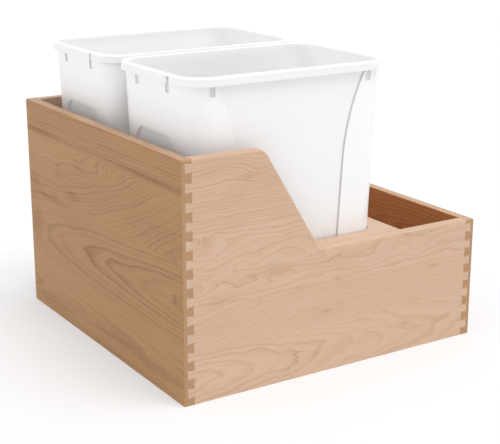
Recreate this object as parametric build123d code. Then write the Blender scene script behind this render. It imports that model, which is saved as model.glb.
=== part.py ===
from build123d import *
from math import cos, radians, sin, tan
import os

# Pull-out bin box: a half-blind dovetailed hardwood box, high at the front and stepped down at
# the back, with a deck panel that steadies two tapered polymer bins, and an open pocket behind.
# Millimetres. Origin on the floor at the centre of the box, +Z up, tall front facing -Y.

# ---- driving dimensions: wooden box ----
BOX_WIDTH = 562.0  # along X, suits the 22 1/2 in opening of a 24 in cabinet
BOX_DEPTH = 559.0  # along Y, 22 in
FRONT_HEIGHT = 376.0
REAR_HEIGHT = 205.0
WALL = 17.5  # 11/16 in solid stock
HIGH_RUN = 140.0  # level top of the side, from the front face to the start of the slope
SLOPE_RUN = 103.5  # horizontal length of the slope
SHOULDER_RADIUS = 22.0  # convex corner at the top of the slope
FOOT_RADIUS = 8.0  # concave corner at the foot of the slope
OUTER_ROUND = 3.0  # routed outer top edges
INNER_ROUND = 1.2  # eased inner top edges
CORNER_ROUND = 1.5  # eased outer upright corners

# ---- dovetails ----
LAP = 6.5  # skin left in front of the tails
TAIL_PITCH = 28.6
TAIL_WIDTH = 13.8  # at half its length
TAIL_FLARE = 0.8  # each edge leans out by this much at the tip and in at the root
FIRST_TAIL = 12.8  # bottom of the lowest tail

# ---- heights of the glue lines between the boards of each panel ----
FRONT_SEAMS = (93.0, 220.0, 321.0)
SIDE_SEAMS = (78.0, 149.0, 263.0)
BACK_SEAMS = (120.0,)

# ---- plywood bottom in its groove ----
BOTTOM_LIFT = 12.7  # recess under the bottom for undermount runners
BOTTOM_THICKNESS = 12.5
GROOVE_DEPTH = 6.0
GROOVE_PLAY = 0.5  # between the bottom's edge and the end of the groove

# ---- deck panel and the cleats under it ----
DECK_THICKNESS = 17.5
DECK_REAR = 136.0  # Y of the deck's rear edge
DECK_EDGE_ROUND = 2.0
CLEAT_WIDTH = 18.0
CLEAT_HEIGHT = 28.0
CLEAT_SETBACK = 4.0  # side cleats stop short of the deck's rear edge

# ---- screws ----
SHANK_RADIUS = 2.0
HEAD_RADIUS = 4.0
HEAD_DEPTH = 2.4
TIP_LENGTH = 5.0
RECESS_SIZE = (4.6, 1.0, 1.4)  # length, width and depth of each slot of the cross recess
WALL_SCREW = 30.0
DECK_SCREW = 40.0
SIDE_WALL_SCREWS_Y = (-200.0, -56.0, 88.0)
SIDE_DECK_SCREWS_Y = (-140.0, 16.0, 118.0)
FRONT_WALL_SCREWS_X = (-180.0, 0.0, 180.0)
FRONT_DECK_SCREWS_X = (-90.0, 90.0)

# ---- rear provisions for undermount runners ----
NOTCH_WIDTH = 35.0
HOOK_RADIUS = 3.0
HOOK_DEPTH = 10.0
HOOK_INSET = 7.0  # from the side's inner face
HOOK_RISE = 11.0  # above the underside of the bottom

# ---- bins ----
BIN_SPACING = 260.0  # centre to centre along X
BIN_Y = -65.0
BIN_PLAY = 0.3  # under a bin's base
BIN_TOP = 482.0
RIM_WIDTH = 246.0
RIM_LENGTH = 371.0
RIM_RADIUS = 48.0
RIM_HEIGHT = 13.5
RIM_ROUND = 3.0
RIM_INNER_ROUND = 1.5
LIP_THICKNESS = 2.5
LIP_ROUND = 0.8
RIM_OVERHANG = 6.7  # from the lip's outer face to the wall, at the top of the rim
SKIN = 4.0  # plain wall; recesses are pressed into its outside only
ARCH_SKIN = 2.5  # behind the hand recess, which also shows inside
BASE_THICKNESS = 3.5
BASE_ROUND = 6.0
DRAFT = 2.0  # degrees, every wall
HOLE_MARGIN = 1.4  # all round each bin where it passes through the deck

# ---- moulded features of a bin, heights measured down from the top of the rim ----
PANEL_DEPTH = 2.1  # recessed centre panel on each long side
PANEL_STEP_ANGLE = 45.0  # slant of the panel's step, degrees
PANEL_FOOT_HALF = 84.0
PANEL_WAIST_HALF = 97.0
PANEL_HEAD_HALF = 138.5  # at the height of the rim's top
PANEL_WAIST_DROP = 152.0
ARCH_DROP = 96.0  # top of the hand recess on each short end
ARCH_HALF = 58.0
ARCH_HEIGHT = 130.0
ARCH_RADIUS = 22.0
ARCH_DEPTH = 3.0
ARCH_TILT = 5.0  # degrees, its floor leans in towards the bottom
ARCH_STEP_ANGLE = 20.0
POCKET_DEPTH = 2.3  # two small pockets right under the lip on each wall
POCKET_DROP = 13.0
POCKET_HEIGHT = 16.2
END_POCKET_WIDTH = 11.0
END_POCKET_X = 48.0
SIDE_POCKET_WIDTH = 8.5
SIDE_POCKET_Y = 140.5
NOTCH_X = 62.0  # notch through the lip of each end
LIP_NOTCH_WIDTH = 9.0

# ---- worked-out dimensions ----
HALF_WIDTH = BOX_WIDTH / 2
HALF_DEPTH = BOX_DEPTH / 2
INNER_X = HALF_WIDTH - WALL
INNER_Y = HALF_DEPTH - WALL
TAIL_LENGTH = WALL - LAP
FLOOR_TOP = BOTTOM_LIFT + BOTTOM_THICKNESS
DECK_BOTTOM = REAR_HEIGHT - DECK_THICKNESS
CLEAT_BOTTOM = DECK_BOTTOM - CLEAT_HEIGHT
SLOPE_TOP = HIGH_RUN - HALF_DEPTH
SLOPE_FOOT = SLOPE_TOP + SLOPE_RUN
BIN_BASE = FLOOR_TOP + BIN_PLAY
WALL_TOP_WIDTH = RIM_WIDTH - 2 * RIM_OVERHANG
WALL_TOP_LENGTH = RIM_LENGTH - 2 * RIM_OVERHANG
WALL_TOP_RADIUS = RIM_RADIUS - RIM_OVERHANG
BEYOND = 20.0  # how far a cutting solid runs past the surface that it cuts

os.makedirs("parts", exist_ok=True)


def block(x_range, y_range, z_range):
    """Box between three pairs of coordinates, each pair in either order."""
    ranges = [sorted(pair) for pair in (x_range, y_range, z_range)]
    centre = [(low + high) / 2 for low, high in ranges]
    return Pos(*centre) * Box(*[high - low for low, high in ranges])


def save(shape, name):
    """Write one sub-part."""
    export_step(shape, f"parts/{name}.step")


# ---------------------------------------------------------------- screws


def screw(length):
    """Countersunk wood screw: head flush with Z = 0, shank up along +Z."""
    outline = Polyline(
        (0, 0),
        (HEAD_RADIUS, 0),
        (SHANK_RADIUS, HEAD_DEPTH),
        (SHANK_RADIUS, length - TIP_LENGTH),
        (0, length),
        close=True,
    )
    return revolve(Plane.XZ * make_face(outline), Axis.Z)


def cross_recess():
    """Cross recess that is cut into a screw head."""
    long, wide, deep = RECESS_SIZE
    slot = Box(long, wide, 2 * deep)
    return slot + Rot(0, 0, 90) * slot


def screw_places():
    """Locations of the wall screws and of the deck screws; +Z of each points into the wood."""
    mid_height = CLEAT_BOTTOM + CLEAT_HEIGHT / 2
    wall_places = [
        Pos(0, -INNER_Y + CLEAT_WIDTH, mid_height) * Pos(x, 0, 0) * Rot(90, 0, 0)
        for x in FRONT_WALL_SCREWS_X
    ]
    deck_places = [
        Pos(x, -INNER_Y + CLEAT_WIDTH / 2, CLEAT_BOTTOM) for x in FRONT_DECK_SCREWS_X
    ]
    for side in (-1, 1):
        wall_places += [
            Pos(side * (INNER_X - CLEAT_WIDTH), y, mid_height) * Rot(0, side * 90, 0)
            for y in SIDE_WALL_SCREWS_Y
        ]
        deck_places += [
            Pos(side * (INNER_X - CLEAT_WIDTH / 2), y, CLEAT_BOTTOM)
            for y in SIDE_DECK_SCREWS_Y
        ]
    return wall_places, deck_places


def solids_at(places, shape):
    """One copy of a shape at each place."""
    return [place * shape for place in places]


# ---------------------------------------------------------------- box walls


def side_outline():
    """Outline of a side in the YZ plane: high front, slope, low rear."""
    face = make_face(
        Polyline(
            (-HALF_DEPTH, 0),
            (-HALF_DEPTH, FRONT_HEIGHT),
            (SLOPE_TOP, FRONT_HEIGHT),
            (SLOPE_FOOT, REAR_HEIGHT),
            (HALF_DEPTH, REAR_HEIGHT),
            (HALF_DEPTH, 0),
            close=True,
        )
    )
    for corner_y, radius in ((SLOPE_TOP, SHOULDER_RADIUS), (SLOPE_FOOT, FOOT_RADIUS)):
        corner = [v for v in face.vertices() if abs(v.X - corner_y) < 0.1]
        face = fillet(corner, radius)
    return face


def top_edges(shape, x_plane, y_plane):
    """Edges along the top of the walls that lie in the given vertical planes."""
    found = []
    for edge in shape.edges():
        middle = edge @ 0.5
        upright = abs(edge.tangent_at(0.5).Z) > 0.999
        in_plane = abs(abs(middle.X) - x_plane) < 0.01 or abs(abs(middle.Y) - y_plane) < 0.01
        if in_plane and not upright and middle.Z > REAR_HEIGHT - 1:
            found.append(edge)
    return found


def wall_ring():
    """All four walls as one ring with its outer and inner edges eased."""
    ring = extrude(Plane.YZ * side_outline(), amount=HALF_WIDTH, both=True)
    ring -= Box(2 * INNER_X, 2 * INNER_Y, 3 * FRONT_HEIGHT)
    corners = [
        edge for edge in ring.edges().filter_by(Axis.Z)
        if abs(abs(edge.center().X) - HALF_WIDTH) < 0.01
    ]
    ring = fillet(corners, CORNER_ROUND)
    ring = fillet(top_edges(ring, HALF_WIDTH, HALF_DEPTH), OUTER_ROUND)
    return fillet(top_edges(ring, INNER_X, INNER_Y), INNER_ROUND)


def tails(height, x_side, y_side):
    """Row of dovetails at one corner, spreading towards the tips."""
    root = y_side * INNER_Y
    tip = y_side * (INNER_Y + TAIL_LENGTH)
    row = []
    bottom = FIRST_TAIL
    while bottom + TAIL_WIDTH < height:
        top = bottom + TAIL_WIDTH
        outline = Polyline(
            (root, bottom + TAIL_FLARE),
            (tip, bottom - TAIL_FLARE),
            (tip, top + TAIL_FLARE),
            (root, top - TAIL_FLARE),
            close=True,
        )
        plane = Plane.YZ.offset(x_side * INNER_X)
        row.append(extrude(plane * make_face(outline), amount=x_side * WALL))
        bottom += TAIL_PITCH
    return row


def hook_bores():
    """Blind bores in the rear face that take the runners' rear hooks."""
    height = BOTTOM_LIFT + HOOK_RISE
    bore = Rot(90, 0, 0) * Cylinder(HOOK_RADIUS, 2 * HOOK_DEPTH)
    return [Pos(s * (INNER_X - HOOK_INSET), HALF_DEPTH, height) * bore for s in (-1, 1)]


def runner_notches():
    """Notches under the back for the runners."""
    depth_range = (INNER_Y - BEYOND, HALF_DEPTH + BEYOND)
    inner = INNER_X - NOTCH_WIDTH
    return [block((s * inner, s * INNER_X), depth_range, (-BEYOND, BOTTOM_LIFT)) for s in (-1, 1)]


def groove():
    """Plywood-sized slot round the inside of the walls."""
    reach_x = INNER_X + GROOVE_DEPTH
    reach_y = INNER_Y + GROOVE_DEPTH
    return block((-reach_x, reach_x), (-reach_y, reach_y), (BOTTOM_LIFT, FLOOR_TOP))


def save_boards(panel, seams, name):
    """Split a panel at its glue lines and write its boards, lowest first."""
    levels = (-BEYOND, *seams, FRONT_HEIGHT + BEYOND)
    for number, (low, high) in enumerate(zip(levels, levels[1:]), start=1):
        slab = block((-BOX_WIDTH, BOX_WIDTH), (-BOX_DEPTH, BOX_DEPTH), (low, high))
        save(panel & slab, f"{name}_board_{number}")


def make_walls(screws):
    """Front, back and both sides, each glued up from boards."""
    ring = wall_ring() - groove()
    high = FRONT_HEIGHT + BEYOND
    corner_tails = {
        (x_side, y_side): tails(FRONT_HEIGHT if y_side < 0 else REAR_HEIGHT, x_side, y_side)
        for x_side in (-1, 1)
        for y_side in (-1, 1)
    }
    for y_side, name, seams in ((-1, "front", FRONT_SEAMS), (1, "back", BACK_SEAMS)):
        slab = block(
            (-BOX_WIDTH, BOX_WIDTH), (y_side * INNER_Y, y_side * (HALF_DEPTH + BEYOND)), (-1, high)
        )
        panel = ring & slab
        panel -= corner_tails[-1, y_side] + corner_tails[1, y_side]
        if y_side < 0:
            panel -= screws
        else:
            panel -= hook_bores() + runner_notches()
        save_boards(panel, seams, name)
    for x_side, name in ((-1, "left_side"), (1, "right_side")):
        slab = block(
            (x_side * INNER_X, x_side * (HALF_WIDTH + BEYOND)), (-INNER_Y, INNER_Y), (-1, high)
        )
        shape = slab + corner_tails[x_side, -1] + corner_tails[x_side, 1]
        panel = (ring & shape) - screws
        save_boards(panel, SIDE_SEAMS, name)


# ---------------------------------------------------------------- bottom, deck, cleats


def make_bottom():
    """Plywood bottom whose edges sit in the groove."""
    reach = GROOVE_DEPTH - GROOVE_PLAY
    half_x = INNER_X + reach
    half_y = INNER_Y + reach
    bottom = block((-half_x, half_x), (-half_y, half_y), (BOTTOM_LIFT, FLOOR_TOP))
    save(bottom, "bottom_panel")


def wall_shrink(height):
    """How far the draft has moved a bin's wall in, at a height, from the top of the rim."""
    return (BIN_TOP - height) * tan(radians(DRAFT))


def make_deck(screws):
    """Deck panel with a hole round each bin."""
    deck = block((-INNER_X, INNER_X), (-INNER_Y, DECK_REAR), (DECK_BOTTOM, REAR_HEIGHT))
    rear_edges = [
        edge for edge in deck.edges().filter_by(Axis.X) if abs(edge.center().Y - DECK_REAR) < 0.01
    ]
    deck = fillet(rear_edges, DECK_EDGE_ROUND)
    grow = HOLE_MARGIN - wall_shrink(REAR_HEIGHT)
    hole = RectangleRounded(
        WALL_TOP_WIDTH + 2 * grow, WALL_TOP_LENGTH + 2 * grow, WALL_TOP_RADIUS + grow
    )
    start = Plane.XY.offset(DECK_BOTTOM - BEYOND)
    cutter = extrude(start * hole, amount=DECK_THICKNESS + 2 * BEYOND)
    for side in (-1, 1):
        deck -= Pos(side * BIN_SPACING / 2, BIN_Y, 0) * cutter
    save(deck - screws, "deck_panel")


def make_cleats(screws):
    """Support cleats under the front and both sides of the deck."""
    heights = (CLEAT_BOTTOM, DECK_BOTTOM)
    front_inner = -INNER_Y + CLEAT_WIDTH
    front = block((-INNER_X, INNER_X), (-INNER_Y, front_inner), heights)
    save(front - screws, "deck_cleat_front")
    for x_side, name in ((-1, "left"), (1, "right")):
        across = (x_side * (INNER_X - CLEAT_WIDTH), x_side * INNER_X)
        cleat = block(across, (front_inner, DECK_REAR - CLEAT_SETBACK), heights)
        save(cleat - screws, f"deck_cleat_{name}")


# ---------------------------------------------------------------- bins


def tapered_prism(inset, base_height, round_radius):
    """Upright rounded prism that narrows downwards, inset from a bin's outer wall."""
    top = Plane((0, 0, BIN_TOP), x_dir=(1, 0, 0), z_dir=(0, 0, -1))
    outline = RectangleRounded(
        WALL_TOP_WIDTH - 2 * inset, WALL_TOP_LENGTH - 2 * inset, WALL_TOP_RADIUS - inset
    )
    prism = extrude(top * outline, amount=BIN_TOP - base_height, taper=DRAFT)
    return fillet(prism.faces().sort_by(Axis.Z)[0].edges(), round_radius)


def rim():
    """Rolled rim: a flat flange with a lip that turns down outside the wall."""
    low = Plane.XY.offset(BIN_TOP - RIM_HEIGHT)
    ring = extrude(low * RectangleRounded(RIM_WIDTH, RIM_LENGTH, RIM_RADIUS), amount=RIM_HEIGHT)
    ring = fillet(ring.faces().sort_by(Axis.Z)[-1].edges(), RIM_ROUND)
    ring = fillet(ring.faces().sort_by(Axis.Z)[0].edges(), LIP_ROUND)
    inner = RectangleRounded(
        RIM_WIDTH - 2 * LIP_THICKNESS, RIM_LENGTH - 2 * LIP_THICKNESS, RIM_RADIUS - LIP_THICKNESS
    )
    channel = extrude(low * inner, amount=RIM_HEIGHT - LIP_THICKNESS)
    notch = block(
        (NOTCH_X - LIP_NOTCH_WIDTH / 2, NOTCH_X + LIP_NOTCH_WIDTH / 2),
        (-RIM_LENGTH / 2 - BEYOND, -RIM_LENGTH / 2 + LIP_THICKNESS + 1),
        (BIN_TOP - RIM_HEIGHT - BEYOND, BIN_TOP - LIP_THICKNESS),
    )
    return ring - channel - notch - Rot(0, 0, 180) * notch


def side_panel_outline(grow):
    """Waisted outline with a flared head; V runs down the wall from the top of the rim."""
    foot_v = BIN_BASE - BIN_TOP - BEYOND
    waist_v = -PANEL_WAIST_DROP
    head_v = 0
    foot_half = PANEL_FOOT_HALF + grow
    waist_half = PANEL_WAIST_HALF + grow
    head_half = PANEL_HEAD_HALF + grow
    climb = (waist_half - foot_half, waist_v - foot_v)
    right = [
        Line((foot_half, foot_v), (waist_half, waist_v)),
        TangentArc((waist_half, waist_v), (head_half, head_v), tangent=climb),
    ]
    left = [edge.mirror(Plane.YZ) for edge in right]
    ends = [
        Line((-foot_half, foot_v), (foot_half, foot_v)),
        Line((-head_half, head_v), (head_half, head_v)),
    ]
    return make_face(right + left + ends)


def side_panel_cut():
    """Solid that recesses the centre of the +X wall, with slanting steps."""
    lean = radians(DRAFT)
    floor = Plane(
        (WALL_TOP_WIDTH / 2 - PANEL_DEPTH * cos(lean), 0, BIN_TOP + PANEL_DEPTH * sin(lean)),
        x_dir=(0, 1, 0),
        z_dir=(cos(lean), 0, -sin(lean)),
    )
    spread = BEYOND * tan(radians(PANEL_STEP_ANGLE))
    solid = loft(
        [floor * side_panel_outline(0), floor.offset(BEYOND) * side_panel_outline(spread)],
        ruled=True,
    )
    under_rim = block(
        (0, RIM_WIDTH), (-RIM_LENGTH, RIM_LENGTH), (-BEYOND, BIN_TOP - RIM_HEIGHT)
    )
    return solid & under_rim


def hand_recess_cut(depth, grow):
    """Solid that recesses the -Y wall: an arch-topped pocket with a leaning floor."""
    lean = radians(DRAFT + ARCH_TILT)
    top = BIN_TOP - ARCH_DROP
    wall_y = WALL_TOP_LENGTH / 2 - wall_shrink(top)
    plane = Plane((0, -wall_y + depth, top), x_dir=(1, 0, 0), z_dir=(0, -cos(lean), -sin(lean)))
    arch = Pos(0, -ARCH_HEIGHT / 2) * RectangleRounded(
        2 * (ARCH_HALF + grow), ARCH_HEIGHT + 2 * grow, ARCH_RADIUS + grow
    )
    return extrude(plane * arch, amount=2 * BEYOND, taper=-ARCH_STEP_ANGLE)


def pocket_cuts():
    """Solids that press the small pockets, two on each wall, into the outside."""
    heights = (BIN_TOP - POCKET_DROP - POCKET_HEIGHT, BIN_TOP - POCKET_DROP)
    shrink = wall_shrink(sum(heights) / 2)
    cuts = []
    for side in (-1, 1):
        x_floor = side * (WALL_TOP_WIDTH / 2 - shrink - POCKET_DEPTH)
        y_floor = side * (WALL_TOP_LENGTH / 2 - shrink - POCKET_DEPTH)
        for place in (-1, 1):
            y, half_y = place * SIDE_POCKET_Y, SIDE_POCKET_WIDTH / 2
            x, half_x = place * END_POCKET_X, END_POCKET_WIDTH / 2
            cuts.append(block((x_floor, x_floor + side * BEYOND), (y - half_y, y + half_y), heights))
            cuts.append(block((x - half_x, x + half_x), (y_floor, y_floor + side * BEYOND), heights))
    return cuts


def pair(cut):
    """A cut and the same cut on the opposite wall."""
    return [cut, Rot(0, 0, 180) * cut]


def tub():
    """One bin, centred on the Z axis."""
    outer = tapered_prism(0, BIN_BASE, BASE_ROUND)
    outer -= pair(side_panel_cut()) + pair(hand_recess_cut(ARCH_DEPTH, 0)) + pocket_cuts()
    hollow = tapered_prism(SKIN, BIN_BASE + BASE_THICKNESS, BASE_ROUND - 1)
    hollow -= pair(hand_recess_cut(ARCH_DEPTH + ARCH_SKIN, ARCH_SKIN))
    body = (outer + rim()) - hollow
    mouth = [
        edge for edge in body.edges()
        if edge.center().Z > BIN_TOP - 0.01
        and abs((edge @ 0.5).X) < WALL_TOP_WIDTH / 2 - SKIN + 0.01
        and abs((edge @ 0.5).Y) < WALL_TOP_LENGTH / 2 - SKIN + 0.01
    ]
    return fillet(mouth, RIM_INNER_ROUND)


def make_bins():
    """Two alike bins side by side."""
    one = tub()
    for x_side, name in ((-1, "left"), (1, "right")):
        save(Pos(x_side * BIN_SPACING / 2, BIN_Y, 0) * one, f"bin_{name}")


def make_all():
    """Build and write every sub-part."""
    wall_places, deck_places = screw_places()
    wall_blanks = solids_at(wall_places, screw(WALL_SCREW))
    deck_blanks = solids_at(deck_places, screw(DECK_SCREW))
    blanks = wall_blanks + deck_blanks
    make_walls(blanks)
    make_bottom()
    make_deck(blanks)
    make_cleats(blanks)
    save(Compound(solids_at(wall_places, screw(WALL_SCREW) - cross_recess())), "cleat_screws")
    save(Compound(solids_at(deck_places, screw(DECK_SCREW) - cross_recess())), "deck_screws")
    make_bins()


make_all()
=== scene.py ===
import math

import bpy
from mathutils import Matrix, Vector


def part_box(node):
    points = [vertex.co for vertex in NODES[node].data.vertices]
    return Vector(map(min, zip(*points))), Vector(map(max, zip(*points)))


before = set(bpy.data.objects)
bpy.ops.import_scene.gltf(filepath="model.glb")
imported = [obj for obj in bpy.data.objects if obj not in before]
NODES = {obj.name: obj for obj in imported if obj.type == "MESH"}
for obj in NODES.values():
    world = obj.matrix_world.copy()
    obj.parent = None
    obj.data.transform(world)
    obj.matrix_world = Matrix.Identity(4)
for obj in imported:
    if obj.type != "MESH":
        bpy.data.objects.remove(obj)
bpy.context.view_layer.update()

# Places in this script are in millimetres unless a name says otherwise; Blender works in metres.
MM = 0.001
LOW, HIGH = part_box("front_board_1")
HALF_WIDTH = HIGH.x / MM
HALF_DEPTH = -LOW.y / MM


# ---------------------------------------------------------------- node building


class Net:
    """Short calls for building one material's node tree."""

    def __init__(self, name):
        self.material = bpy.data.materials.new(name)
        self.material.use_nodes = True
        self.tree = self.material.node_tree
        self.tree.nodes.clear()
        self.point = self.add("ShaderNodeTexCoord")
        self.coordinates = self.scaled(self.point.outputs["Object"], 1 / MM)
        parts = self.add("ShaderNodeSeparateXYZ")
        self.join(self.coordinates, parts.inputs[0])
        self.x, self.y, self.z = parts.outputs

    def add(self, kind, **settings):
        node = self.tree.nodes.new(kind)
        for key, value in settings.items():
            setattr(node, key, value)
        return node

    def join(self, source, target):
        """Link a socket, or set a plain value."""
        if isinstance(source, bpy.types.NodeSocket):
            self.tree.links.new(source, target)
        else:
            target.default_value = source

    def maths(self, operation, *values, clamp=False):
        node = self.add("ShaderNodeMath", operation=operation, use_clamp=clamp)
        for value, socket in zip(values, node.inputs):
            self.join(value, socket)
        return node.outputs[0]

    def sum(self, first, *others):
        for other in others:
            first = self.maths("ADD", first, other)
        return first

    def scaled(self, vector, factor):
        node = self.add("ShaderNodeVectorMath", operation="SCALE")
        self.join(vector, node.inputs[0])
        node.inputs["Scale"].default_value = factor
        return node.outputs[0]

    def vector(self, x, y, z):
        node = self.add("ShaderNodeCombineXYZ")
        for value, socket in zip((x, y, z), node.inputs):
            self.join(value, socket)
        return node.outputs[0]

    def noise(self, vector, sizes, seed, detail=2.0, roughness=0.5):
        """Smooth noise from -1 to 1 whose lumps have the given sizes along each axis."""
        mapping = self.add("ShaderNodeMapping")
        self.join(vector, mapping.inputs["Vector"])
        mapping.inputs["Scale"].default_value = [1 / size for size in sizes]
        mapping.inputs["Location"].default_value = (seed * 7.31, seed * 3.77, seed * 5.13)
        node = self.add("ShaderNodeTexNoise")
        self.join(mapping.outputs[0], node.inputs["Vector"])
        node.inputs["Scale"].default_value = 1.0
        node.inputs["Detail"].default_value = detail
        node.inputs["Roughness"].default_value = roughness
        return self.maths("MULTIPLY_ADD", node.outputs["Fac"], 2.0, -1.0)

    def ramp(self, value, stops):
        """Map a value through stops of (position, level)."""
        node = self.add("ShaderNodeValToRGB")
        self.join(value, node.inputs[0])
        band = node.color_ramp
        while len(band.elements) < len(stops):
            band.elements.new(0.5)
        for element, (position, level) in zip(band.elements, stops):
            element.position = position
            element.color = (level, level, level, 1.0)
        return node.outputs["Color"]

    def blend(self, factor, first, second):
        """Mix two colours."""
        node = self.add("ShaderNodeMix", data_type="RGBA")
        self.join(factor, node.inputs["Factor"])
        for value, socket in ((first, node.inputs[6]), (second, node.inputs[7])):
            self.join((*value, 1.0) if isinstance(value, tuple) else value, socket)
        return node.outputs[2]

    def surface(self, color, roughness, height, bump_mm, **others):
        """Finish the tree with a Principled surface; other values go straight on its sockets."""
        shader = self.add("ShaderNodeBsdfPrincipled")
        self.join(color, shader.inputs["Base Color"])
        self.join(roughness, shader.inputs["Roughness"])
        for name, value in others.items():
            self.join(value, shader.inputs[name.replace("_", " ")])
        bump = self.add("ShaderNodeBump")
        bump.inputs["Distance"].default_value = bump_mm * MM
        self.join(height, bump.inputs["Height"])
        self.join(bump.outputs[0], shader.inputs["Normal"])
        output = self.add("ShaderNodeOutputMaterial")
        self.join(shader.outputs[0], output.inputs["Surface"])
        return self.material


def dress(node_name, material):
    """Give one CAD node one material."""
    slots = NODES[node_name].data.materials
    slots.clear()
    slots.append(material)


# ---------------------------------------------------------------- solid wood

# How a board was cut from its log. The growth rings are round about the pith line, which runs
# `pith` behind the outer face at the middle of the board and `centre` above the floor.
# slope:   how fast the pith nears (-) or leaves (+) the face along the board; it makes arches
# lean:    how fast the rings climb along the board, and bend: how that changes per millimetre
# spacing: ring to ring
# wander:  how far broad waves push the rings, and span: how long those waves are
# curl:    the same for small waves
# dark:    strength of the ring lines
# tone:    lighter (+) or darker (-) than the stock
# knots:   (along, height, length, rise, strength) where the rings swell out
# stains:  (along, height, length, rise, strength) darker patches


def board(pith, centre, slope=0.0, lean=0.0, bend=0.0, spacing=6.0, wander=3.0, span=150.0,
          curl=0.6, dark=0.6, tone=0.0, knots=(), stains=()):
    return dict(pith=pith, centre=centre, slope=slope, lean=lean, bend=bend, spacing=spacing,
                wander=wander, span=span, curl=curl, dark=dark, tone=tone, knots=knots,
                stains=stains)


FRONT_BOARDS = (
    board(30, 42, slope=0.035, spacing=6, wander=4, curl=1.3, dark=0.85, tone=0.06,
          stains=((160, 32, 170, 9, 0.5), (-200, 20, 80, 8, 0.4), (60, 6, 240, 5, 0.4))),
    board(44, 153, slope=-0.074, lean=0.03, spacing=7, wander=4, curl=1.6, dark=1.2, tone=-0.05,
          knots=((-252, 150, 26, 15, 16),),
          stains=((-255, 158, 26, 22, 0.5), (-40, 155, 26, 8, 0.3), (-190, 214, 60, 5, 0.5))),
    board(45, 128, slope=-0.02, lean=0.26, bend=0.0005, spacing=7, wander=7, span=120, curl=2.2,
          dark=0.95, tone=0.02, knots=((-5, 298, 70, 14, 19), (-150, 268, 30, 22, 12)),
          stains=((-95, 240, 30, 7, 0.55), (-152, 268, 12, 18, 0.3), (-255, 232, 22, 9, 0.6),
                  (-60, 292, 20, 8, 0.25), (-200, 290, 90, 26, -0.3), (200, 250, 90, 20, 0.2))),
    board(20, -100, lean=0.015, spacing=5.5, wander=5, span=260, curl=1.0, dark=1.15, tone=-0.12,
          stains=((-230, 328, 75, 4, 0.8), (190, 329, 120, 4, 0.8))),
)
BACK_BOARDS = (
    board(55, 50, slope=0.05, spacing=7, wander=5, dark=0.9),
    board(35, 150, slope=-0.08, lean=0.02, spacing=6, wander=6, curl=1.5, dark=1.3, tone=-0.05),
)
SIDE_BOARDS = (
    board(50, 37, slope=0.1, spacing=6, wander=8, span=75, curl=1.6, dark=0.8,
          stains=((138, 47, 14, 5, 0.55), (40, 38, 60, 5, 0.15))),
    board(15, -120, lean=0.06, bend=-0.0003, spacing=3.8, wander=3, span=220, curl=0.7, dark=1.1,
          tone=0.02, stains=((193, 137, 9, 2.5, 0.6), (-22, 101, 9, 2.5, 0.6))),
    board(40, 205, slope=0.02, spacing=7, wander=14, span=76, curl=1.7, dark=0.7,
          knots=((-255, 228, 58, 20, 18), (-110, 182, 32, 10, 14)),
          stains=((-110, 183, 32, 9, 0.45), (-222, 154, 26, 8, 0.4), (-8, 196, 50, 7, -0.25),
                  (-95, 222, 14, 24, 0.18), (20, 182, 60, 9, 0.16))),
    board(25, 430, spacing=5, wander=5, span=110, curl=1.4, dark=0.85, tone=-0.16,
          knots=((-200, 352, 40, 22, 8), (-150, 345, 25, 18, -7)),
          stains=((-168, 338, 18, 4, 0.4), (-230, 352, 40, 5, 0.2))),
)

# light wood, ring line, warm patch and end grain of each stock
SIDE_STOCK = ((0.65, 0.455, 0.325), (0.50, 0.31, 0.195), (0.64, 0.425, 0.275), (0.45, 0.28, 0.17))
# the front stock is darker and warmer than the side's: partly its own wood, partly painted shade of the
# front faces
FRONT_STOCK_AND_SHADE = ((0.475, 0.262, 0.114), (0.325, 0.145, 0.053), (0.48, 0.24, 0.093), (0.44, 0.26, 0.145))
# painted shade of the back's inner face, a darker and redder stock: light wood, ring line and warm
# patch, and where it starts
BACK_SHADE_STOCK = ((0.60, 0.245, 0.088), (0.38, 0.135, 0.042), (0.59, 0.22, 0.075))
BACK_SHADE_DEPTH = 15.0
FIBRE_JITTER = 1.1  # how far fibres push the rings


def hump(net, along, height, place):
    """Smooth bell, place[4] high at its middle, that fades over a length and a rise."""
    middle, level, length, rise, strength = place
    u = net.maths("DIVIDE", net.maths("SUBTRACT", along, middle), length)
    v = net.maths("DIVIDE", net.maths("SUBTRACT", height, level), rise)
    square = net.sum(net.maths("MULTIPLY", u, u), net.maths("MULTIPLY", v, v))
    bell = net.maths("EXPONENT", net.maths("MULTIPLY", square, -1.0))
    return net.maths("MULTIPLY", bell, strength)


def ring_distance(net, along, depth, cell, cut, seed):
    """Distance from the pith, pushed about by broad waves, small waves, fibres and knots."""
    climb = net.maths("MULTIPLY", along, net.maths("MULTIPLY_ADD", along, cut["bend"], cut["lean"]))
    rise = net.maths("SUBTRACT", net.maths("SUBTRACT", net.z, cut["centre"]), climb)
    nearing = net.maths("MULTIPLY_ADD", along, cut["slope"], cut["pith"])
    behind = net.maths("SUBTRACT", nearing, depth)
    square = net.sum(net.maths("MULTIPLY", rise, rise), net.maths("MULTIPLY", behind, behind))
    radius = net.maths("SQRT", square)
    waves = (
        (net.noise(cell, (cut["span"], 34, 40), seed, detail=1.5), cut["wander"]),
        (net.noise(cell, (34, 9, 12), seed + 11, detail=2.0), cut["curl"]),
        (net.noise(cell, (9, 3.2, 4), seed + 17, detail=3.0, roughness=0.6), FIBRE_JITTER),
    )
    for wave, reach in waves:
        radius = net.maths("MULTIPLY_ADD", wave, reach, radius)
    for knot in cut["knots"]:
        radius = net.sum(radius, hump(net, along, net.z, knot))
    return radius


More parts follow.
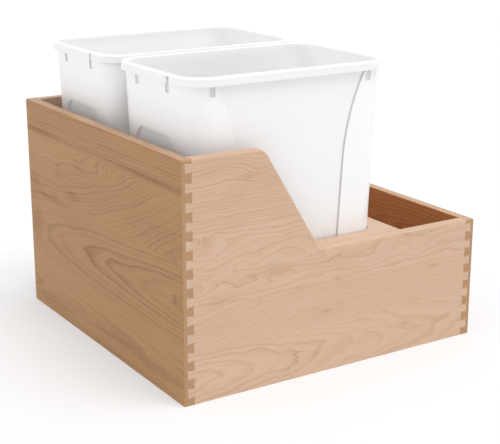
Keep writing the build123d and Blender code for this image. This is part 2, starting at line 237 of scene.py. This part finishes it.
def ring_lines(net, radius, spacing, seed):
    """(line, even line): late-wood lines that vary from ring to ring, and the plain rings."""
    turns = net.maths("DIVIDE", radius, spacing)
    across = net.vector(turns, seed, 0.0)
    turns = net.maths("MULTIPLY_ADD", net.noise(across, (2.3, 1, 1), seed + 5, detail=0.0), 0.7, turns)
    stops = ((0.0, 0.35), (0.06, 0.0), (0.5, 0.10), (0.84, 0.55), (0.93, 1.0), (1.0, 0.35))
    even = net.ramp(net.maths("FRACT", turns), stops)
    strength = net.maths("MULTIPLY_ADD", net.noise(across, (1.1, 1, 1), seed + 8), 1.3, 0.6, clamp=True)
    fine_stops = ((0.0, 0.0), (0.6, 0.2), (0.9, 1.0), (1.0, 0.0))
    fine = net.ramp(net.maths("FRACT", net.maths("MULTIPLY", turns, 3.3)), fine_stops)
    line = net.sum(net.maths("MULTIPLY", even, strength), net.maths("MULTIPLY", fine, 0.24))
    return line, even


def wood(name, grain, depth_of, cut, stock, seed, top_paleness=0.45, inner_stock=None):
    """Solid wood with growth rings, fibres, flecks and end grain.

    grain is 'x' or 'y'. Faces that look up are blended paler by top_paleness, a painted sheen, and the
    inner face of a board may have a stock of its own, darker and redder for painted shade.
    """
    light, late, warm, end = stock
    net = Net(name)
    along = net.x if grain == "x" else net.y
    depth = depth_of(net)
    # painted shade: behind this depth a back board takes the darker, redder stock
    if inner_stock:
        inside = net.maths("GREATER_THAN", depth, BACK_SHADE_DEPTH)
        pairs = zip((light, late, warm), inner_stock)
        light, late, warm = [net.blend(inside, outer, inner) for outer, inner in pairs]
    cell = net.vector(along, net.z, depth)
    radius = ring_distance(net, along, depth, cell, cut, seed)
    line, even = ring_lines(net, radius, cut["spacing"], seed)
    lines = net.maths("MULTIPLY", line, cut["dark"])

    fibre = net.noise(cell, (22, 0.45, 0.45), seed + 21, detail=3.0, roughness=0.65)
    strands = net.noise(cell, (46, 2.6, 2.6), seed + 25, detail=3.0, roughness=0.7)
    cloud = net.noise(cell, (110, 32, 32), seed + 31, detail=3.0)
    specks = net.noise(cell, (6.5, 1.3, 1.3), seed + 41, detail=0.0)
    fleck = net.ramp(specks, ((0.0, 0.0), (0.5, 0.0), (0.72, 1.0)))

    dark = net.sum(
        lines, net.maths("MULTIPLY", fibre, 0.16), net.maths("MULTIPLY", strands, 0.34),
        net.maths("MULTIPLY", cloud, 0.22), net.maths("MULTIPLY", fleck, 0.3), -cut["tone"],
    )
    for stain in cut["stains"]:
        dark = net.sum(dark, hump(net, along, net.z, stain))
    patch = net.ramp(net.noise(cell, (90, 26, 26), seed + 61, detail=2.0), ((0.3, 0.0), (0.7, 1.0)))
    color = net.blend(dark, net.blend(patch, light, warm), late)

    parts = net.add("ShaderNodeSeparateXYZ")
    net.join(net.point.outputs["Normal"], parts.inputs[0])
    facing = net.maths("ABSOLUTE", parts.outputs[0 if grain == "x" else 1])
    end_grain = net.ramp(facing, ((0.6, 0.0), (0.85, 1.0)))
    # painted sheen: faces that look up are blended paler towards the light side stock
    painted_top_sheen = net.ramp(parts.outputs[2], ((0.5, 0.0), (0.9, top_paleness)))
    color = net.blend(painted_top_sheen, color, SIDE_STOCK[0])
    pores = net.noise(cell, (4.0, 0.5, 0.5), seed + 51, detail=3.0)
    end_dark = net.maths("MULTIPLY_ADD", pores, 0.35, net.maths("MULTIPLY_ADD", even, 0.3, 0.8))
    color = net.blend(end_grain, color, net.blend(end_dark, light, end))

    height = net.sum(net.maths("MULTIPLY", fibre, 0.5), net.maths("MULTIPLY", lines, -0.5),
                     net.maths("MULTIPLY", fleck, -0.4))
    roughness = net.maths("MULTIPLY_ADD", fibre, 0.06, net.maths("MULTIPLY_ADD", end_grain, 0.14, 0.5))
    return net.surface(color, roughness, height, 0.06, Specular_IOR_Level=0.28)


def dress_boards():
    """One cut of wood for every board of the four walls."""
    def from_front(net):
        return net.maths("ADD", net.y, HALF_DEPTH)

    def from_back(net):
        return net.maths("SUBTRACT", HALF_DEPTH, net.y)

    def from_side(net):
        return net.maths("SUBTRACT", HALF_WIDTH, net.maths("ABSOLUTE", net.x))

    panels = (
        ("front", "x", from_front, FRONT_BOARDS, FRONT_STOCK_AND_SHADE, 1.0, 0.45, None),
        ("back", "x", from_back, BACK_BOARDS, FRONT_STOCK_AND_SHADE, 21.0, 0.6, BACK_SHADE_STOCK),
        ("right_side", "y", from_side, SIDE_BOARDS, SIDE_STOCK, 41.0, 0.2, None),
        ("left_side", "y", from_side, SIDE_BOARDS, SIDE_STOCK, 61.0, 0.2, None),
    )
    for panel, grain, depth_of, cuts, stock, first_seed, paleness, inner in panels:
        for number, cut in enumerate(cuts, start=1):
            name = f"{panel}_board_{number}"
            seed = first_seed + number
            dress(name, wood(name, grain, depth_of, cut, stock, seed, paleness, inner))


# ---------------------------------------------------------------- plywood and cleats


VENEER_SPACING = 9.0  # line to line across the face veneer
VENEER_SWING = 38.0  # how far broad waves push those lines


def plywood(name, thickness, top, plies, seed):
    """Rotary-cut face veneer on a core whose plies show as bands on every edge."""
    light, late, _, end = SIDE_STOCK
    net = Net(name)
    cell = net.coordinates
    broad = net.noise(cell, (180, 60, 20), seed, detail=2.0)
    shifted = net.maths("MULTIPLY_ADD", broad, VENEER_SWING, net.maths("MULTIPLY", net.y, 0.3))
    turns = net.maths("FRACT", net.maths("DIVIDE", shifted, VENEER_SPACING))
    shape = net.ramp(turns, ((0.0, 0.3), (0.1, 0.0), (0.7, 0.3), (0.92, 1.0), (1.0, 0.3)))
    fibre = net.noise(cell, (26, 0.6, 0.6), seed + 3, detail=3.0, roughness=0.6)
    dark = net.sum(net.maths("MULTIPLY", shape, 0.35), net.maths("MULTIPLY", fibre, 0.10), 0.02)
    face = net.blend(dark, light, late)

    level = net.maths("DIVIDE", net.maths("SUBTRACT", top, net.z), thickness / plies)
    ply = net.maths("FLOOR", level)
    odd = net.maths("MODULO", ply, 2.0)
    glue = net.ramp(net.maths("FRACT", level), ((0.0, 1.0), (0.07, 0.0), (0.93, 0.0), (1.0, 1.0)))
    grit = net.noise(cell, (2.5, 2.5, 0.5), seed + 7, detail=3.0)
    edge_dark = net.sum(net.maths("MULTIPLY", odd, 0.55), net.maths("MULTIPLY", glue, 0.5),
                        net.maths("MULTIPLY", grit, 0.2), 0.1)
    edge = net.blend(edge_dark, light, end)

    parts = net.add("ShaderNodeSeparateXYZ")
    net.join(net.point.outputs["Normal"], parts.inputs[0])
    flat = net.ramp(net.maths("ABSOLUTE", parts.outputs[2]), ((0.5, 0.0), (0.8, 1.0)))
    color = net.blend(flat, edge, face)
    height = net.sum(net.maths("MULTIPLY", fibre, 0.5), net.maths("MULTIPLY", grit, 0.2))
    roughness = net.maths("MULTIPLY_ADD", fibre, 0.05, 0.45)
    return net.surface(color, roughness, height, 0.05, Specular_IOR_Level=0.42)


def dress_panels():
    """Bottom, deck and the cleats that carry the deck."""
    for name, plies, seed in (("bottom_panel", 9, 81.0), ("deck_panel", 13, 85.0)):
        low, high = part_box(name)
        dress(name, plywood(name, (high.z - low.z) / MM, high.z / MM, plies, seed))
    cut = board(60, 60, spacing=6, wander=4, dark=0.5)

    def from_top(net):
        return net.maths("SUBTRACT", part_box("deck_cleat_front")[1].z / MM, net.z)

    dress("deck_cleat_front", wood("deck_cleat_front", "x", from_top, cut, SIDE_STOCK, 91.0))
    for side, seed in (("left", 92.0), ("right", 93.0)):
        name = f"deck_cleat_{side}"
        dress(name, wood(name, "y", from_top, cut, SIDE_STOCK, seed))


# ---------------------------------------------------------------- screws and bins


def zinc():
    """Zinc-plated steel with a faint yellow-grey cloud."""
    net = Net("zinc")
    cloud = net.noise(net.coordinates, (6, 6, 6), 3.0, detail=3.0)
    grain = net.noise(net.coordinates, (0.4, 0.4, 0.4), 5.0, detail=2.0)
    tarnish = net.maths("MULTIPLY_ADD", cloud, 0.5, 0.5)
    color = net.blend(tarnish, (0.62, 0.63, 0.62), (0.48, 0.47, 0.43))
    roughness = net.maths("MULTIPLY_ADD", grain, 0.08, 0.34)
    return net.surface(color, roughness, grain, 0.02, Metallic=1.0)


BIN_LOW, BIN_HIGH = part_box("bin_right")
BIN_AXIS = ((BIN_LOW.x + BIN_HIGH.x) / 2 / MM, (BIN_LOW.y + BIN_HIGH.y) / 2 / MM)
BIN_TOP = BIN_HIGH.z / MM
BIN_DRAFT = math.tan(math.radians(2.0))
INNER_HALF_WIDTH = (BIN_HIGH.x - BIN_LOW.x) / 2 / MM - 9.7  # at the top, just past the inner face
# small pockets under a bin's lip, measured from the bin's axis: end pockets, then side pockets
END_POCKETS = dict(across=48, half=5.6, out=177.0, depth=2.1)
SIDE_POCKETS = dict(across=140.5, half=4.4, out=114.6, depth=2.2)
POCKET_MIDDLE, POCKET_HALF_HEIGHT = BIN_TOP - 21, 8.4
# moulded steps of a bin's long sides: the way they face along Y, and where they end
STEP_FACING, STEP_LEEWAY = -0.7, 0.12
STEP_REACH = 137
STEP_TOP = BIN_TOP - 14
# painted shade in the pockets under the lip
POCKET_PAINTED_SHADE = (0.72, 0.71, 0.72)
# painted shade on the moulded steps that face the front
STEP_PAINTED_SHADE = (0.55, 0.54, 0.55)
FACING_AXIS = -20.0  # outward part of a place times its normal, below which it faces the axis
# painted light: how strongly the bins' inner faces glow
INSIDE_PAINTED_GLOW = 0.05


def pocket_mask(net):
    """1 inside the pockets, 0 elsewhere: where shade is painted."""
    u = net.maths("ABSOLUTE", net.maths("SUBTRACT", net.maths("ABSOLUTE", net.x), BIN_AXIS[0]))
    v = net.maths("ABSOLUTE", net.maths("SUBTRACT", net.y, BIN_AXIS[1]))
    level = net.maths("COMPARE", net.z, POCKET_MIDDLE, POCKET_HALF_HEIGHT)
    found = []
    for across, out, place in ((u, v, END_POCKETS), (v, u, SIDE_POCKETS)):
        beside = net.maths("COMPARE", across, place["across"], place["half"])
        within = net.maths("COMPARE", out, place["out"], place["depth"])
        found.append(net.maths("MULTIPLY", beside, within))
    return net.maths("MULTIPLY", net.maths("ADD", *found), level)


def step_mask(net):
    """1 on the moulded steps of the long sides that face the tall front, where shade is painted."""
    parts = net.add("ShaderNodeSeparateXYZ")
    net.join(net.point.outputs["Normal"], parts.inputs[0])
    facing = net.maths("COMPARE", parts.outputs[1], STEP_FACING, STEP_LEEWAY)
    along = net.maths("COMPARE", net.y, BIN_AXIS[1], STEP_REACH)
    under_rim = net.maths("LESS_THAN", net.z, STEP_TOP)
    return net.maths("MULTIPLY", net.maths("MULTIPLY", facing, along), under_rim)


def inside_mask(net):
    """1 on the inner faces of a bin, 0 elsewhere: inside the wall and facing the bin's axis, where
    light is painted.
    """
    parts = net.add("ShaderNodeSeparateXYZ")
    net.join(net.point.outputs["Normal"], parts.inputs[0])
    u = net.maths("SUBTRACT", net.maths("ABSOLUTE", net.x), BIN_AXIS[0])
    v = net.maths("SUBTRACT", net.y, BIN_AXIS[1])
    signed_u = net.maths("MULTIPLY", u, net.maths("SIGN", net.x))
    across = net.maths("MULTIPLY", signed_u, parts.outputs[0])
    outward = net.sum(across, net.maths("MULTIPLY", v, parts.outputs[1]))
    facing_axis = net.maths("LESS_THAN", outward, FACING_AXIS)
    shrink = net.maths("MULTIPLY", net.maths("SUBTRACT", BIN_TOP, net.z), BIN_DRAFT)
    within = net.maths("LESS_THAN", net.sum(net.maths("ABSOLUTE", u), shrink), INNER_HALF_WIDTH)
    return net.maths("MULTIPLY", facing_axis, within)


def white_polymer():
    """Moulded white polymer: fine texture, faint flow clouds, rubbed streaks, painted shade in pockets
    and steps.

    The inner faces glow a little: painted light, standing in for the light that a thin white wall lets
    through.
    """
    net = Net("white_polymer")
    skin = net.noise(net.coordinates, (0.9, 0.9, 0.9), 2.0, detail=2.0)
    peel = net.noise(net.coordinates, (9, 9, 14), 4.0, detail=2.0)
    cloud = net.noise(net.coordinates, (70, 70, 120), 6.0, detail=2.0)
    streaks = net.noise(net.coordinates, (2.2, 2.2, 60), 8.0, detail=3.0)
    rub = net.ramp(streaks, ((0.0, 0.0), (0.55, 0.0), (0.9, 1.0)))
    flow = net.maths("MULTIPLY_ADD", cloud, 0.5, 0.5)
    color = net.blend(flow, (0.94, 0.932, 0.935), (0.92, 0.910, 0.915))
    color = net.blend(net.maths("MULTIPLY", rub, 0.15), color, (0.80, 0.80, 0.80))
    # painted shade: the pockets are tinted darker grey
    color = net.blend(net.maths("MULTIPLY", pocket_mask(net), 0.9), color, POCKET_PAINTED_SHADE)
    # painted shade: the steps that face the front are tinted darker grey
    color = net.blend(net.maths("MULTIPLY", step_mask(net), 0.9), color, STEP_PAINTED_SHADE)
    roughness = net.sum(net.maths("MULTIPLY_ADD", peel, 0.04, 0.36), net.maths("MULTIPLY", rub, 0.08),
                        net.maths("MULTIPLY", skin, 0.02))
    height = net.sum(net.maths("MULTIPLY", skin, 0.25), net.maths("MULTIPLY", peel, 0.5))
    return net.surface(
        color, roughness, height, 0.03,
        Subsurface_Weight=0.6, Subsurface_Radius=(1.0, 1.0, 1.0), Subsurface_Scale=6 * MM, IOR=1.5,
        Emission_Color=(1.0, 1.0, 1.0, 1.0),
        # painted light: the inner faces glow
        Emission_Strength=net.maths("MULTIPLY", inside_mask(net), INSIDE_PAINTED_GLOW),
    )


def dress_fittings():
    metal = zinc()
    for name in ("cleat_screws", "deck_screws"):
        dress(name, metal)
    polymer = white_polymer()
    for name in ("bin_left", "bin_right"):
        dress(name, polymer)


# ---------------------------------------------------------------- stage, light and camera


FLOOR_TONE = (0.58, 0.58, 0.59, 1.0)
FLOOR_GLOW = 0.335
SURROUND = 0.75
SUN_AZIMUTH = math.radians(24)  # from +X towards +Y
SUN_ELEVATION = math.radians(69)
# camera, in metres, degrees and millimetres of lens
CAMERA_PLACE = (1.7159, -1.0757, 0.7693)
LOOK_DOWN = 16.41
LOOK_TURN = 57.59  # from +Y towards -X
LENS = 86.74


def floor():
    """Plain white sweep that glows a little, so that shadows stay light."""
    net = Net("studio_floor")
    shader = net.add("ShaderNodeBsdfPrincipled")
    shader.inputs["Base Color"].default_value = FLOOR_TONE
    shader.inputs["Roughness"].default_value = 0.9
    shader.inputs["Specular IOR Level"].default_value = 0.0
    shader.inputs["Emission Color"].default_value = (1.0, 1.0, 1.0, 1.0)
    shader.inputs["Emission Strength"].default_value = FLOOR_GLOW
    output = net.add("ShaderNodeOutputMaterial")
    net.join(shader.outputs[0], output.inputs["Surface"])
    reach = 40.0
    mesh = bpy.data.meshes.new("floor")
    corners = [(-reach, -reach, 0), (reach, -reach, 0), (reach, reach, 0), (-reach, reach, 0)]
    mesh.from_pydata(corners, [], [(0, 1, 2, 3)])
    mesh.materials.append(net.material)
    plane = bpy.data.objects.new("floor", mesh)
    bpy.context.scene.collection.objects.link(plane)


def aim(thing, target=(0.0, 0.0, 0.2)):
    """Turn a light towards a point."""
    direction = Vector(target) - thing.location
    thing.rotation_euler = direction.to_track_quat("-Z", "Y").to_euler()


def lights():
    """High broad sun from the right, a narrow strip for the bins' front faces, pale surround."""
    world = bpy.data.worlds.new("surround")
    world.use_nodes = True
    background = world.node_tree.nodes["Background"]
    background.inputs["Color"].default_value = (1.0, 1.0, 1.0, 1.0)
    background.inputs["Strength"].default_value = SURROUND
    bpy.context.scene.world = world

    key = bpy.data.lights.new("key", "SUN")
    key.energy = 1.5
    key.angle = math.radians(40)
    sun = bpy.data.objects.new("key", key)
    away = 3.0
    sun.location = (
        away * math.cos(SUN_ELEVATION) * math.cos(SUN_AZIMUTH),
        away * math.cos(SUN_ELEVATION) * math.sin(SUN_AZIMUTH),
        away * math.sin(SUN_ELEVATION),
    )
    aim(sun)
    bpy.context.scene.collection.objects.link(sun)

    strip = bpy.data.lights.new("bin_strip", "AREA")
    strip.shape = "RECTANGLE"
    strip.size, strip.size_y = 0.9, 0.1
    strip.spread = math.radians(24)
    strip.energy = 0.2
    lamp = bpy.data.objects.new("bin_strip", strip)
    lamp.location = (-0.3, -1.7, 0.70)
    aim(lamp, (0.0, -0.2, 0.62))
    bpy.context.scene.collection.objects.link(lamp)


def camera():
    """Long lens at the front right corner, looking slightly down."""
    lens = bpy.data.cameras.new("camera")
    lens.sensor_width = 36.0
    lens.lens = LENS
    view = bpy.data.objects.new("camera", lens)
    view.location = CAMERA_PLACE
    view.rotation_euler = (math.radians(90 - LOOK_DOWN), 0.0, math.radians(LOOK_TURN))
    bpy.context.scene.collection.objects.link(view)
    bpy.context.scene.camera = view


camera()
lights()
floor()
dress_boards()
dress_panels()
dress_fittings()
bpy.context.scene.view_settings.view_transform = "Standard"
